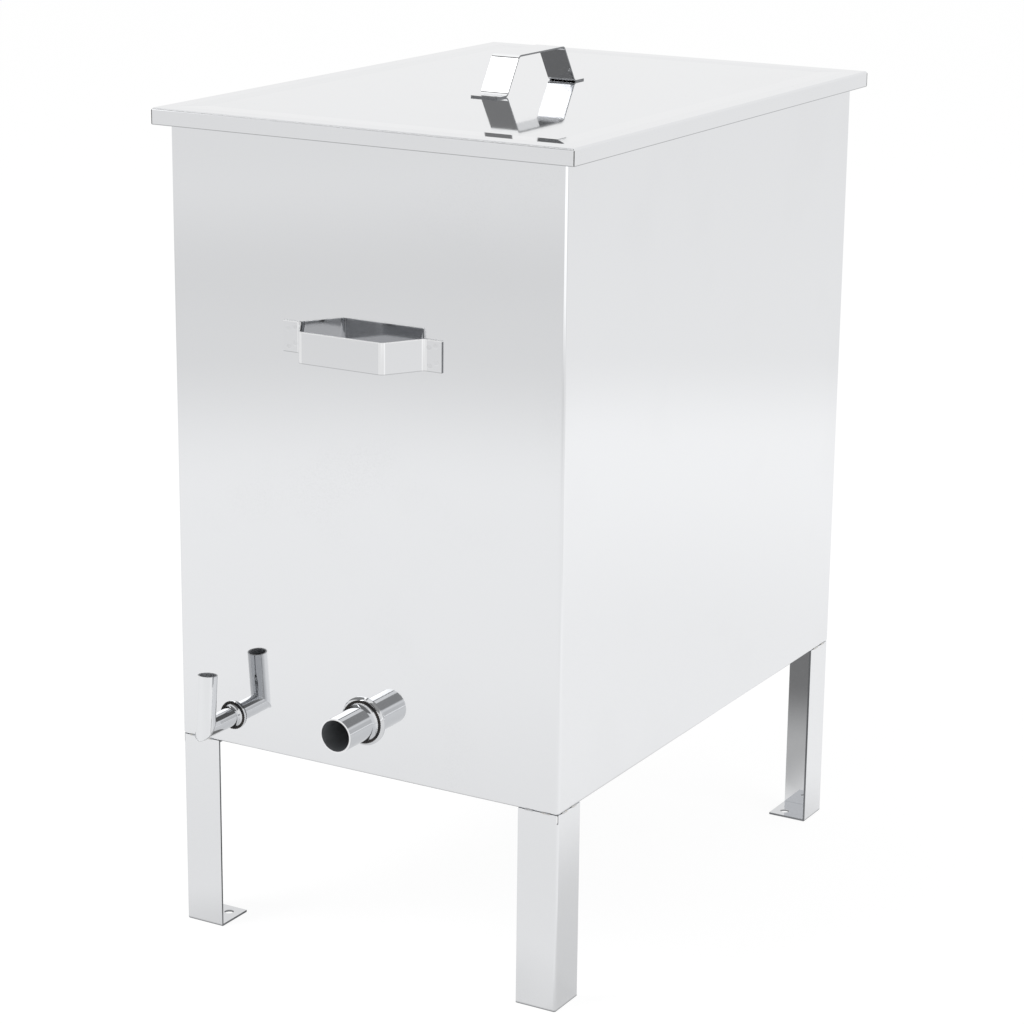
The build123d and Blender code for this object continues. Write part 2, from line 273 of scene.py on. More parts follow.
floor_paint = bpy.data.materials.new("studio_floor")
floor_paint.use_nodes = True
floor_mesh.materials.append(floor_paint)
paint = floor_paint.node_tree
paint.nodes.clear()
print("floor radius", FLOOR_RADIUS)

# %% [markdown]
# A couple of metres away the floor changes to a paler grey, which is the soft change of tone half way up
# the tank's walls. The front wall mirrors the front left of the floor and the side wall mirrors the rear
# right, and the light is not the same there. So each half has its own ramps over the distance: from here,
# to here, with this tone before and that one after. The halves blend into each other across the middle.
# Close to the tank the front left is a little darker, and close to the feet darker again. This is painted
# shade, a contact shadow, which the lower ends of the legs mirror.

# %% Floor tones over the distance
# Painted shade: the floor is darker near the tank and at the feet.
SHADE_AT_FEET = (0.33, 0.43, 0.87, 1.0)
LEFT_NEAR_SHADE = (0.5, 1.15, 0.94, 1.0)
LEFT_FALL = (1.85, 2.8, 1.0, 0.83)
LEFT_RISE = (3.3, 4.7, 0.0, 0.15)
FRONT_LEFT_TONE = 0.95
RIGHT_RISE = (0.9, 1.8, 1.0, 1.05)
RIGHT_FALL = (1.85, 2.55, 0.0, -0.11)
REAR_RIGHT_TONE = 1.05
REAR_RIGHT = (0.5, 0.866, 0)

place = add_node(paint, "ShaderNodeTexCoord").outputs["Object"]
distance = vector_node(paint, "LENGTH", place)["Value"]
left_tone = math_node(paint, "ADD", ramp(paint, distance, *LEFT_FALL), ramp(paint, distance, *LEFT_RISE))
left_tone = product(paint, left_tone, ramp(paint, distance, *SHADE_AT_FEET), ramp(paint, distance, *LEFT_NEAR_SHADE),
                    FRONT_LEFT_TONE)
right_tone = math_node(paint, "ADD", ramp(paint, distance, *RIGHT_RISE), ramp(paint, distance, *RIGHT_FALL))
right_tone = product(paint, right_tone, REAR_RIGHT_TONE)
to_rear_right = vector_node(paint, "DOT_PRODUCT", place, REAR_RIGHT)["Value"]
right_share = ramp(paint, to_rear_right, -0.6, 0.6)
right_change = math_node(paint, "SUBTRACT", right_tone, left_tone)
side_tone = math_node(paint, "MULTIPLY_ADD", right_share, right_change, left_tone)
print("front left", FRONT_LEFT_TONE, "rear right", REAR_RIGHT_TONE)

# %% [markdown]
# Four places differ from that, and all four are painted light and shade. A painted shadow darkens the floor
# under the tank, most of all towards the front left, and painted shade darkens a strip beside the right
# wall and a patch farther out. A painted pool of light far off to the front right is what the bend at the
# tank's front corner mirrors as a white line.

# %% Painted shade and light on the floor
UNDER_TANK_SHADOW = (-0.06, 0.15, 0.25, 0.55)
BESIDE_SHADE = 0.855
BESIDE_X = (0.18, 0.21, 0.31, 0.44)
OFF_RIGHT_SHADE = 0.88
OFF_RIGHT_Y = (-1.1, -0.9, 0.0, 0.3)
FAR_CORNER_LIGHT = 1.55
FAR_CORNER_REACH = (2.3, 3.2)
FRONT_RIGHT = (0.6, -0.8, 0)

tank_low, tank_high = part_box("tank_wrap")
floor_place = axes(paint, "Object")
floor_x = floor_place["X"]
floor_y = floor_place["Y"]
past_side = math_node(paint, "SUBTRACT", math_node(paint, "ABSOLUTE", floor_x), tank_high.x)
past_end = math_node(paint, "SUBTRACT", math_node(paint, "ABSOLUTE", floor_y), tank_high.y)
shadow_under_tank = fade(paint, math_node(paint, "MAXIMUM", past_side, past_end), -0.1, 0.0)
under_tone = ramp(paint, to_rear_right, *UNDER_TANK_SHADOW)
lost_under = product(paint, shadow_under_tank, math_node(paint, "SUBTRACT", 1.0, under_tone))
shade_beside_wall = product(paint, band(paint, floor_x, *BESIDE_X),
                 band(paint, floor_y, tank_low.y - 0.1, tank_low.y, 0.2, 0.4))
shade_off_right = product(paint, ramp(paint, floor_x, 1.2, 1.6), band(paint, floor_y, *OFF_RIGHT_Y))
from_corner = vector_node(paint, "SUBTRACT", place, (tank_high.x, tank_low.y, 0))["Vector"]
corner_reach = vector_node(paint, "LENGTH", from_corner)["Value"]
corner_way = vector_node(paint, "NORMALIZE", from_corner)["Vector"]
to_front_right = vector_node(paint, "DOT_PRODUCT", corner_way, FRONT_RIGHT)["Value"]
light_far_corner = product(paint, ramp(paint, to_front_right, 0.76, 0.93),
                     ramp(paint, corner_reach, *FAR_CORNER_REACH))

floor_tone = product(paint, side_tone, math_node(paint, "SUBTRACT", 1.0, lost_under))
for mask, tone in ((light_far_corner, FAR_CORNER_LIGHT), (shade_beside_wall, BESIDE_SHADE), (shade_off_right, OFF_RIGHT_SHADE)):
    floor_tone = toned(paint, floor_tone, mask, tone)
print("floor tone nodes", len(paint.nodes))

# %% [markdown]
# A white studio floor is lit so brightly that shadows almost drown in it. So most of what the camera and
# the mirrored rays see of it is an even glow, and a small share is lit paint that takes the shadows.

# %% Paint the floor
FLOOR_WHITE = 0.92
CAMERA_WHITE = 1.06
SEEN_SHADOW = 0.15
MIRRORED_SHADOW = 0.25

rays = add_node(paint, "ShaderNodeLightPath").outputs
mirrored = rays["Is Glossy Ray"]
from_camera = math_node(paint, "ADD", rays["Is Camera Ray"], rays["Is Transmission Ray"])
mirrored_tone = product(paint, mirrored, floor_tone)
not_mirrored = math_node(paint, "SUBTRACT", 1.0, mirrored)
lit_tone = math_node(paint, "ADD", mirrored_tone, not_mirrored)
lit = add_node(paint, "ShaderNodeBsdfDiffuse")
feed(paint, lit.inputs["Color"], product(paint, lit_tone, FLOOR_WHITE))
glow_tone = math_node(paint, "ADD", product(paint, from_camera, CAMERA_WHITE), mirrored_tone)
glow = add_node(paint, "ShaderNodeEmission")
feed(paint, glow.inputs["Color"], glow_tone)
glow_share = math_node(paint, "ADD", product(paint, from_camera, 1 - SEEN_SHADOW),
                       product(paint, mirrored, 1 - MIRRORED_SHADOW))
floor_surface = mix_shaders(paint, glow_share, lit, glow)
feed(paint, add_node(paint, "ShaderNodeOutputMaterial").inputs["Surface"], floor_surface)
print("floor nodes", len(paint.nodes))

# %% [markdown]
# Two soft lamps shade the dull surfaces: a large one at the front left and a weaker one at the right.
# Mirrored rays don't meet them, because the room above already holds what the sheet mirrors.

# %% Hang two soft lamps
TANK_MIDDLE = Vector((0, 0, 0.5))
LAMPS = (
    ("key_softbox", Vector((-1.75, -2.25, 2.75)), 2.0, 60.0),
    ("side_softbox", Vector((2.9, -0.4, 1.9)), 1.8, 20.0),
)
for name, at, size, power in LAMPS:
    lamp_data = bpy.data.lights.new(name, "AREA")
    lamp_data.shape = "SQUARE"
    lamp_data.size = size
    lamp_data.energy = power
    lamp = bpy.data.objects.new(name, lamp_data)
    lamp.location = at
    lamp.rotation_euler = (TANK_MIDDLE - at).to_track_quat("-Z", "Y").to_euler()
    lamp.visible_glossy = False
    bpy.context.scene.collection.objects.link(lamp)
    print(name, "power", power)

# %% [markdown]
# ## Marking cut edges, bends and inner sides
# Sheet is bright on its faces and dull where the shear or the saw went through it. A tube is polished only
# on the outside. A strap's inner sides, in shade against what the strap sits on, are painted darker as
# painted shade, and its outer bends are painted lighter as a painted highlight. All this could be painted
# by hand, but the model knows it already, because each face of the CAD model is an island of its own in the
# mesh. An island that isn't flat is a bend, and a flat one that is only as wide as the sheet is thick is a
# cut edge. A face that looks into its own bend, bore or box is an inner side. Face attributes carry these
# marks to the finishes, and the shapes stay as they are.

# %% Tell the islands apart
MM = 0.001
SHEARED_WIDTH = 2.3 * MM
SAME_WAY = 0.999


def islands(shape):
    waiting = set(shape.faces)
    while waiting:
        stack = [waiting.pop()]
        found = []
        while stack:
            face = stack.pop()
            found.append(face)
            near = {other for edge in face.edges for other in edge.link_faces} & waiting
            waiting -= near
            stack.extend(near)
        yield found


def is_bent(island):
    first = island[0].normal
    return any(face.normal.dot(first) < SAME_WAY for face in island)


def is_sheared(island):
    if is_bent(island):
        return False
    outline = sum(edge.calc_length() for face in island for edge in face.edges if edge.is_boundary)
    return 2 * sum(face.calc_area() for face in island) < SHEARED_WIDTH * outline


def mark_faces(piece, looks_inward):
    shape = bmesh.new()
    shape.from_mesh(piece.data)
    marks = {name: [0.0] * len(shape.faces) for name in ("sheared_edge", "inner_side", "outer_bend")}
    for island in islands(shape):
        thin = is_sheared(island)
        curved = is_bent(island)
        for face in island:
            inner = not thin and looks_inward(face.calc_center_median(), face.normal)
            marks["sheared_edge"][face.index] = float(thin)
            marks["inner_side"][face.index] = float(inner)
            marks["outer_bend"][face.index] = float(curved and not inner)
    shape.free()
    for name, values in marks.items():
        piece.data.attributes.new(name, "FLOAT", "FACE").data.foreach_set("value", values)
    return {name: round(sum(values)) for name, values in marks.items()}


print("cut edges are under", SHEARED_WIDTH, "m wide")

# %% [markdown]
# Which way is inward differs from piece to piece. For a handle or the lid it is one direction, towards
# what the piece sits on. For the tank's wrap and the tubes it is towards an axis, and the tubes' axes
# come from the places where hoses go on.

# %% Mark the faces
TOWARDS = 0.15


def facing(way):
    return lambda at, normal: normal.dot(way) > TOWARDS


def facing_axis(point, axis):
    def looks_inward(at, normal):
        offset = at - point
        return normal.dot(offset - axis * offset.dot(axis)) < 0
    return looks_inward


mounts = {mount["name"]: mount for mount in frame["record"]["mounts"]}
fill_at = Vector(mounts["fill_end"]["pos_m"])
fill_axis = Vector(mounts["fill_end"]["axis"])
outlet_at = Vector(mounts["outlet_end"]["pos_m"])
spigot_low, spigot_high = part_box("fill_spigot")
spigot_at = (spigot_low + spigot_high) / 2
RIGHTWARD = Vector((1, 0, 0))
REARWARD = Vector((0, 1, 0))
UPWARD = Vector((0, 0, 1))
INWARD = {
    "tank_wrap": facing_axis(Vector((0, 0, 0)), UPWARD),
    "lid_pan": facing(-UPWARD),
    "lid_handle": facing(-UPWARD),
    "front_handle": facing(REARWARD),
    "rear_handle": facing(-REARWARD),
    "outlet_tube": facing_axis(outlet_at, REARWARD),
    "fill_spigot": facing_axis(spigot_at, REARWARD),
    "fill_riser": facing_axis(fill_at, fill_axis),
}
for name, piece in nodes.items():
    marked = mark_faces(piece, INWARD.get(name, lambda at, normal: False))
    print(name, marked)

# %% [markdown]
# ## Finishes
# Every piece is stainless steel, so the finishes differ by how the surface was made and not by colour:
# bright rolled sheet, polished strip, polished tube, satin inner parts and drawn wire. What they share is
# built once, as node groups: slow waves from rolling and bending, fine lines along the rolling or drawing
# direction, patches where hands have been, and the face marks above.

# %% Shared effects
def new_group(name, inputs, outputs):
    group = bpy.data.node_groups.new(name, "ShaderNodeTree")
    for socket, kind, value in inputs:
        made = group.interface.new_socket(socket, in_out="INPUT", socket_type=kind)
        made.default_value = value
    for socket in outputs:
        group.interface.new_socket(socket, in_out="OUTPUT", socket_type="NodeSocketFloat")
    given = add_node(group, "NodeGroupInput").outputs
    return group, given, add_node(group, "NodeGroupOutput").inputs


def noise(tree, scale, detail, vector=None):
    if vector is None:
        vector = add_node(tree, "ShaderNodeTexCoord").outputs["Object"]
    node = add_node(tree, "ShaderNodeTexNoise")
    feed(tree, node.inputs["Vector"], vector)
    feed(tree, node.inputs["Scale"], scale)
    node.inputs["Detail"].default_value = detail
    return node.outputs["Fac"]


print("helpers for node groups ready")

# %% Waves and lines of rolled steel
sheet_waves, given, result = new_group(
    "sheet_waves",
    (("Waves per metre", "NodeSocketFloat", 4.0), ("Depth", "NodeSocketFloat", 0.0001)),
    ("Height",))
swell = math_node(sheet_waves, "SUBTRACT", noise(sheet_waves, given["Waves per metre"], 1.0), 0.5)
feed(sheet_waves, result["Height"], product(sheet_waves, swell, given["Depth"]))

rolling_lines, given, result = new_group(
    "rolling_lines",
    (("Lines per metre", "NodeSocketVector", (3.0, 3.0, 700.0)), ("Depth", "NodeSocketFloat", 0.000001)),
    ("Lines", "Height"))
place = add_node(rolling_lines, "ShaderNodeTexCoord").outputs["Object"]
stretched = vector_node(rolling_lines, "MULTIPLY", place, given["Lines per metre"])["Vector"]
lines = noise(rolling_lines, 1.0, 2.0, stretched)
feed(rolling_lines, result["Lines"], ramp(rolling_lines, lines, 0.3, 0.7))
feed(rolling_lines, result["Height"], product(rolling_lines, lines, given["Depth"]))
print("groups", sheet_waves.name, rolling_lines.name)

# %% Handling marks and face marks
MARKS = {"Cut edge": "sheared_edge", "Inner side": "inner_side", "Outer bend": "outer_bend"}
SPECKS_PER_METRE = 900.0

handling_marks, given, result = new_group(
    "handling_marks", (("Patches per metre", "NodeSocketFloat", 9.0),), ("Mask",))
patches = ramp(handling_marks, noise(handling_marks, given["Patches per metre"], 3.0), 0.52, 0.72)
specks = ramp(handling_marks, noise(handling_marks, SPECKS_PER_METRE, 2.0), 0.35, 0.75)
feed(handling_marks, result["Mask"], product(handling_marks, patches, specks))

face_marks, given, result = new_group("face_marks", (), tuple(MARKS))
for socket, attribute in MARKS.items():
    reader = add_node(face_marks, "ShaderNodeAttribute", attribute_name=attribute)
    feed(face_marks, result[socket], reader.outputs["Fac"])
print("groups", [group.name for group in bpy.data.node_groups])

# %% [markdown]
# One function makes every steel finish from these groups, with its own colour, roughness and depth of
# lines and waves. The marks then mix in the other colours that the same piece shows: its bends, its inner
# sides and its cut edges. Mixing by marks keeps one finish per piece, where separate materials would need
# the faces to be assigned one by one.

# %% Helpers for finishes
def place_group(tree, group, **values):
    node = add_node(tree, "ShaderNodeGroup", node_tree=group)
    for name, value in values.items():
        feed(tree, node.inputs[name.replace("_", " ")], value)
    return node.outputs


def mixed(tree, mask, first, second, kind="FLOAT"):
    node = add_node(tree, "ShaderNodeMix", data_type=kind)
    sockets = [socket for socket in node.inputs if socket.enabled]
    for socket, value in zip(sockets, (mask, first, second)):
        feed(tree, socket, value)
    return next(socket for socket in node.outputs if socket.enabled)


def new_metal(name):
    finish = bpy.data.materials.new(name)
    finish.use_nodes = True
    shader = finish.node_tree.nodes["Principled BSDF"]
    shader.inputs["Metallic"].default_value = 1.0
    return finish, finish.node_tree, shader.inputs


def add_bump(tree, height):
    bump = add_node(tree, "ShaderNodeBump")
    bump.inputs["Distance"].default_value = 1.0
    feed(tree, bump.inputs["Height"], height)
    feed(tree, tree.nodes["Principled BSDF"].inputs["Normal"], bump.outputs["Normal"])


def recolor(finish, mask, color):
    tree = finish.node_tree
    base = tree.nodes["Principled BSDF"].inputs["Base Color"]
    feed(tree, base, mixed(tree, mask, base.links[0].from_socket, (*color, 1), "RGBA"))


print("helpers for finishes ready")

# %% A steel finish
CUT_EDGE_AND_SHADE_COLOR = (0.22, 0.225, 0.235)
SHEET_EDGE_COLOR = (0.55, 0.555, 0.565)
CUT_EDGE_ROUGHNESS = 0.35
HANDLED_TONE = 0.97
HANDLED_ROUGHNESS = 0.025
LINE_ROUGHNESS = 0.4
INNER_LINE_ROUGHNESS = 0.3


def steel_finish(name, color, roughness, lines, line_depth, wave_depth, inner_color, inner_roughness,
                 edge_color=CUT_EDGE_AND_SHADE_COLOR, edge_roughness=CUT_EDGE_ROUGHNESS, bend_highlight_color=None):
    finish, tree, surface = new_metal(name)
    waves = place_group(tree, sheet_waves, Depth=wave_depth)
    rolled = place_group(tree, rolling_lines, Lines_per_metre=lines, Depth=line_depth)
    marks = place_group(tree, handling_marks)
    faces = place_group(tree, face_marks)

    handled = [channel * HANDLED_TONE for channel in color]
    tone = mixed(tree, marks["Mask"], (*color, 1), (*handled, 1), "RGBA")
    # On the straps the bend colour is a painted highlight.
    tone = mixed(tree, faces["Outer bend"], tone, (*(bend_highlight_color or color), 1), "RGBA")
    # On the straps the inner side colour is painted shade.
    tone = mixed(tree, faces["Inner side"], tone, (*inner_color, 1), "RGBA")
    tone = mixed(tree, faces["Cut edge"], tone, (*edge_color, 1), "RGBA")
    feed(tree, surface["Base Color"], tone)

    lined = math_node(tree, "MULTIPLY_ADD", rolled["Lines"], LINE_ROUGHNESS * roughness, roughness)
    smudged = math_node(tree, "MULTIPLY_ADD", marks["Mask"], HANDLED_ROUGHNESS, lined)
    inner_lines = INNER_LINE_ROUGHNESS * inner_roughness
    inner = math_node(tree, "MULTIPLY_ADD", rolled["Lines"], inner_lines, inner_roughness)
    gloss = mixed(tree, faces["Inner side"], smudged, inner)
    gloss = mixed(tree, faces["Cut edge"], gloss, edge_roughness)
    feed(tree, surface["Roughness"], gloss)
    add_bump(tree, math_node(tree, "ADD", waves["Height"], rolled["Height"]))
    return finish


print("cut edges take colour", CUT_EDGE_AND_SHADE_COLOR)

# %% Steel finishes
SHEET = (0.822, 0.83, 0.845)
SHEET_INNER = (0.74, 0.75, 0.765)
STRAP = (0.815, 0.823, 0.838)
# The next colour is a painted highlight on the straps' outer bends.
STRAP_BEND_HIGHLIGHT = (0.95, 0.955, 0.965)
# The next two colours are painted shade on the straps' inner sides.
STRAP_INNER_SHADE = (0.55, 0.554, 0.562)
LID_HANDLE_INNER_SHADE = (0.64, 0.645, 0.655)
TUBE = (0.69, 0.7, 0.715)
RISER = (0.8, 0.81, 0.825)
TUBE_END = (0.86, 0.865, 0.875)
# The next colour is painted shade on the riser's side towards the tank's wall.
RISER_WALL_SIDE_SHADE = (0.48, 0.49, 0.505)
BORE = (0.6, 0.615, 0.635)
SATIN = (0.62, 0.63, 0.645)
WIRE = (0.7, 0.71, 0.725)
ACROSS_HEIGHT = (3.0, 3.0, 700.0)
ACROSS_WIDTH = (700.0, 3.0, 3.0)
ROUND_TUBE = (12.0, 1400.0, 12.0)
ROUND_RISER = (12.0, 12.0, 1400.0)
finishes = {
    "bright_sheet": steel_finish("bright_sheet", SHEET, 0.035, ACROSS_HEIGHT, 2e-7, 1.2e-4,
                                 SHEET_INNER, 0.32, SHEET_EDGE_COLOR),
    "polished_strap": steel_finish("polished_strap", STRAP, 0.04, ACROSS_HEIGHT, 2e-7, 1e-5,
                                   STRAP_INNER_SHADE, 0.06, bend_highlight_color=STRAP_BEND_HIGHLIGHT),
    "polished_tube": steel_finish("polished_tube", TUBE, 0.05, ROUND_TUBE, 4e-7, 1e-5,
                                  BORE, 0.45, TUBE_END, 0.12),
    "inner_sheet": steel_finish("inner_sheet", SATIN, 0.24, ACROSS_WIDTH, 1e-6, 2e-5, SATIN, 0.24),
    "bright_wire": steel_finish("bright_wire", WIRE, 0.1, ACROSS_WIDTH, 4e-7, 0.0, WIRE, 0.1),
}
for part in frame["record"]["subparts"]:
    piece = nodes[part["node"]]
    piece.data.materials.clear()
    piece.data.materials.append(finishes[part["material_slot"]])
print("finishes", sorted(finishes))

# %% [markdown]
# Shearing leaves a burr along the lower edge of a strip, a thin dark line, and the lid's rim has a thin
# dark line along its lower edge. At the foot of a leg a thin dark line is painted shade, a contact shadow.
# Along the strap's upper edge a light line is a painted highlight. Such a line follows the height on the
# object, so it is one ramp over Z that mixes another colour into the finish.

# %% Lines along edges
STRAP_TOP_HIGHLIGHT_COLOR = (0.96, 0.963, 0.97)
STRAP_BURR = 0.4
STRAP_TOP_HIGHLIGHT = 0.9
FOOT_PLATE_SHADE = 0.2
FOOT_LINE_SHADE = 0.9


def edge_line(finish, start, end, at_start, at_end, color):
    height = axes(finish.node_tree, "Object")["Z"]
    recolor(finish, ramp(finish.node_tree, height, start, end, at_start, at_end), color)


strap_low, strap_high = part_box("front_handle")
strap = finishes["polished_strap"]
edge_line(strap, strap_low.z + 0.4 * MM, strap_low.z + 1.0 * MM, STRAP_BURR, 0.0, CUT_EDGE_AND_SHADE_COLOR)
# A painted highlight along the strap's upper edge.
edge_line(strap, strap_high.z - 1.1 * MM, strap_high.z - 0.6 * MM, 0.0, STRAP_TOP_HIGHLIGHT, STRAP_TOP_HIGHLIGHT_COLOR)

LEGS = ("leg_front_left", "leg_front_right", "leg_rear_left", "leg_rear_right")
leg_finish = steel_finish("leg_sheet", SHEET, 0.035, ACROSS_HEIGHT, 2e-7, 1.2e-4, SHEET_INNER, 0.32)
# Painted shade: a contact shadow along the foot of each leg.
edge_line(leg_finish, 2.1 * MM, 2.6 * MM, FOOT_PLATE_SHADE, 0.0, CUT_EDGE_AND_SHADE_COLOR)
edge_line(leg_finish, 1.0 * MM, 1.7 * MM, FOOT_LINE_SHADE, 0.0, CUT_EDGE_AND_SHADE_COLOR)
for leg in LEGS:
    nodes[leg].data.materials[0] = leg_finish
print("edge lines on straps and legs")

# %% [markdown]
# The lid's sheet is the same, but the folding of its rim has pulled its margin up by a couple of degrees.
# It is too shallow to see as a shape, and it shows only in how the margin mirrors the handle. So it is a
# bump: a height that rises evenly over the last stretch before each edge.

# %% Lid finish
MARGIN_FROM = 17 * MM
MARGIN_WIDTH = 19 * MM
MARGIN_TILT = math.radians(2.5)
RIM_LOW_LINE = 0.6

lid_finish = steel_finish("lid_sheet", SHEET, 0.035, ACROSS_WIDTH, 2e-7, 2e-5, SHEET_INNER, 0.32,
                          SHEET_EDGE_COLOR)
tree = lid_finish.node_tree
bump = next(node for node in tree.nodes if node.bl_idname == "ShaderNodeBump")
on_lid = axes(tree, "Object")
lid_low, lid_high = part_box("lid_pan")
to_side = math_node(tree, "SUBTRACT", lid_high.x, math_node(tree, "ABSOLUTE", on_lid["X"]))
to_end = math_node(tree, "SUBTRACT", lid_high.y, math_node(tree, "ABSOLUTE", on_lid["Y"]))
to_edge = math_node(tree, "MINIMUM", to_side, to_end)
into_margin = math_node(tree, "SUBTRACT", MARGIN_FROM + MARGIN_WIDTH, to_edge)
into_margin = math_node(tree, "MINIMUM", math_node(tree, "MAXIMUM", into_margin, 0.0), MARGIN_WIDTH)
rolled_height = bump.inputs["Height"].links[0].from_socket
lifted = math_node(tree, "MULTIPLY_ADD", into_margin, math.tan(MARGIN_TILT), rolled_height)
feed(tree, bump.inputs["Height"], lifted)
# A thin dark line along the rim's lower edge.
edge_line(lid_finish, lid_low.z + 0.4 * MM, lid_low.z + 0.9 * MM, RIM_LOW_LINE, 0.0, CUT_EDGE_AND_SHADE_COLOR)
nodes["lid_pan"].data.materials[0] = lid_finish
print("lid margin", MARGIN_WIDTH, "tilt", round(math.degrees(MARGIN_TILT), 1))

# %% [markdown]
# The lid handle's strip was polished along its length, which runs front to back here. The riser's side
# towards the tank's wall, where it lies in shade between the tube and the wall, is painted darker: painted
# shade. That side is found by which way the surface faces.

# %% Lid handle and riser finishes
WALL_SIDE = (0.1, 0.5)

lid_strap = steel_finish("lid_strap", STRAP, 0.04, ACROSS_WIDTH, 2e-7, 1e-5, LID_HANDLE_INNER_SHADE, 0.06,
                         bend_highlight_color=STRAP_BEND_HIGHLIGHT)
riser_tube = steel_finish("riser_tube", RISER, 0.05, ROUND_RISER, 4e-7, 1e-5, BORE, 0.45, TUBE_END, 0.12)
tree = riser_tube.node_tree
recolor(riser_tube, ramp(tree, axes(tree, "Normal")["Y"], *WALL_SIDE), RISER_WALL_SIDE_SHADE)
for node, finish in (("lid_handle", lid_strap), ("fill_riser", riser_tube)):
    nodes[node].data.materials[0] = finish
    print(node, "takes", finish.name)

# %% [markdown]
# ## Welds
# A weld is a row of small overlapping puddles, so a bead has ripples at an even pitch. It could be a
# curve with a round bevel, but that is as smooth as wire. Here a ring of points is carried along the
# joint, and its radius swells and sinks once for each puddle. Half of every bead lies inside the sheets
# that it joins.

# %% From a shape to a piece
def piece_from(name, shape, body, finish):
    mesh = bpy.data.meshes.new(name)
    bmesh.ops.recalc_face_normals(shape, faces=shape.faces)
    shape.to_mesh(mesh)
    shape.free()
    mesh.polygons.foreach_set("use_smooth", [True] * len(mesh.polygons))
    mesh.materials.append(finish)
    piece = bpy.data.objects.new(name, mesh)
    bpy.context.scene.collection.objects.link(piece)
    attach(piece, body)
    print(name, "faces", len(mesh.polygons))


def ring_of(shape, centre, across, upward, radius, sides):
    turns = [2 * math.pi * side / sides for side in range(sides)]
    offsets = [(across * math.cos(turn) + upward * math.sin(turn)) * radius for turn in turns]
    return [shape.verts.new(centre + offset) for offset in offsets]


def join_rings(shape, first, second):
    for side in range(len(first)):
        after = (side + 1) % len(first)
        shape.faces.new((first[side], second[side], second[after], first[after]))


print("helpers for pieces ready")

# %% A rippled bead along a joint
BEAD_SIDES = 8
STEPS_PER_RIPPLE = 4
FEWEST_STEPS = 8
RIPPLE = 0.12
END_RADIUS = 0.35
SMALL_STEP = 0.001


def straight(start, end):
    return lambda share: start.lerp(end, share)


def circle(centre, first, second):
    def point_at(share):
        turn = 2 * math.pi * share
        return centre + first * math.cos(turn) + second * math.sin(turn)
    return point_at


def end_taper(share, length, radius):
    from_end = min(share, 1 - share) * length
    return min(1.0, END_RADIUS + 3 * from_end / (4 * radius))


def add_bead(shape, point_at, length, side, radius, pitch, closed=False):
    steps = max(FEWEST_STEPS, round(length / pitch) * STEPS_PER_RIPPLE)
    rings = []
    for step in range(steps if closed else steps + 1):
        share = step / steps
        along = (point_at(share + SMALL_STEP) - point_at(share - SMALL_STEP)).normalized()
        across = along.cross(side).normalized()
        upward = across.cross(along)
        swell = 1 + RIPPLE * math.cos(2 * math.pi * step / STEPS_PER_RIPPLE)
        if not closed:
            swell *= end_taper(share, length, radius)
        rings.append(ring_of(shape, point_at(share), across, upward, radius * swell, BEAD_SIDES))
    pairs = list(zip(rings, rings[1:]))
    if closed:
        pairs.append((rings[-1], rings[0]))
    else:
        shape.faces.new(rings[0])
        shape.faces.new(rings[-1])
    for first, second in pairs:
        join_rings(shape, first, second)


print("bead ripples", STEPS_PER_RIPPLE, "steps each")

# %% [markdown]
# Weld metal is duller than the sheet and takes on a straw to blue tint where it was hot. Pickling takes
# most of the tint off again, so it is kept as a faint change of colour. The beads in the narrow joint round
# the tubes' roots are nearly black.

# %% Weld finishes
TINTS_PER_METRE = 160.0
GRAINS_PER_METRE = 2500.0
GRAIN_ROUGHNESS = 0.15
GRAIN_DEPTH = 2e-5


def weld_finish(name, cool, warm, roughness):
    finish, tree, surface = new_metal(name)
    tint = ramp(tree, noise(tree, TINTS_PER_METRE, 2.0), 0.35, 0.65)
    feed(tree, surface["Base Color"], mixed(tree, tint, (*cool, 1), (*warm, 1), "RGBA"))
    grain = noise(tree, GRAINS_PER_METRE, 3.0)
    feed(tree, surface["Roughness"], math_node(tree, "MULTIPLY_ADD", grain, GRAIN_ROUGHNESS, roughness))
    add_bump(tree, product(tree, grain, GRAIN_DEPTH))
    return finish


bright_weld = weld_finish("bright_weld", (0.62, 0.64, 0.68), (0.68, 0.64, 0.57), 0.18)
dressed_weld = weld_finish("dressed_weld", (0.79, 0.798, 0.812), (0.75, 0.757, 0.77), 0.04)
near_black_weld = weld_finish("near_black_weld", (0.03, 0.031, 0.034), (0.055, 0.05, 0.047), 0.4)
print("weld finishes", bright_weld.name, dressed_weld.name, near_black_weld.name)

# %% [markdown]
# The outlet and the spigot widen to a flared root at the wall. A weld runs round each root, a few
# millimetres in front of the wall. The elbow is two tubes that meet in a mitre, and the bead there was
# ground almost flush. Its line is the oval in which the tubes' cut ends meet, so it is a circle stretched
# along one axis.

# %% Root welds of the tubes
ROOT_RINGS = (("outlet_tube", 18.7, 3.3, 1.4), ("fill_spigot", 12.0, 1.7, 1.2))
ROOT_PITCH = 2 * MM
WALL_FRONT = strap_high.y

root_beads = bmesh.new()
for node, radius, reach, bead in ROOT_RINGS:
    low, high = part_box(node)
    root = (high.x - low.x) / 2
    centre = Vector(((low.x + high.x) / 2, WALL_FRONT - reach * MM, high.z - root))
    ring = circle(centre, RIGHTWARD * radius * MM, UPWARD * radius * MM)
    add_bead(root_beads, ring, 2 * math.pi * radius * MM, REARWARD, bead * MM, ROOT_PITCH, closed=True)
piece_from("tube_root_welds", root_beads, "tank", near_black_weld)

# %% Mitre weld of the elbow
MITRE_BEAD = 0.25 * MM
MITRE_PITCH = 1.2 * MM
OVAL_LENGTH = 1.2

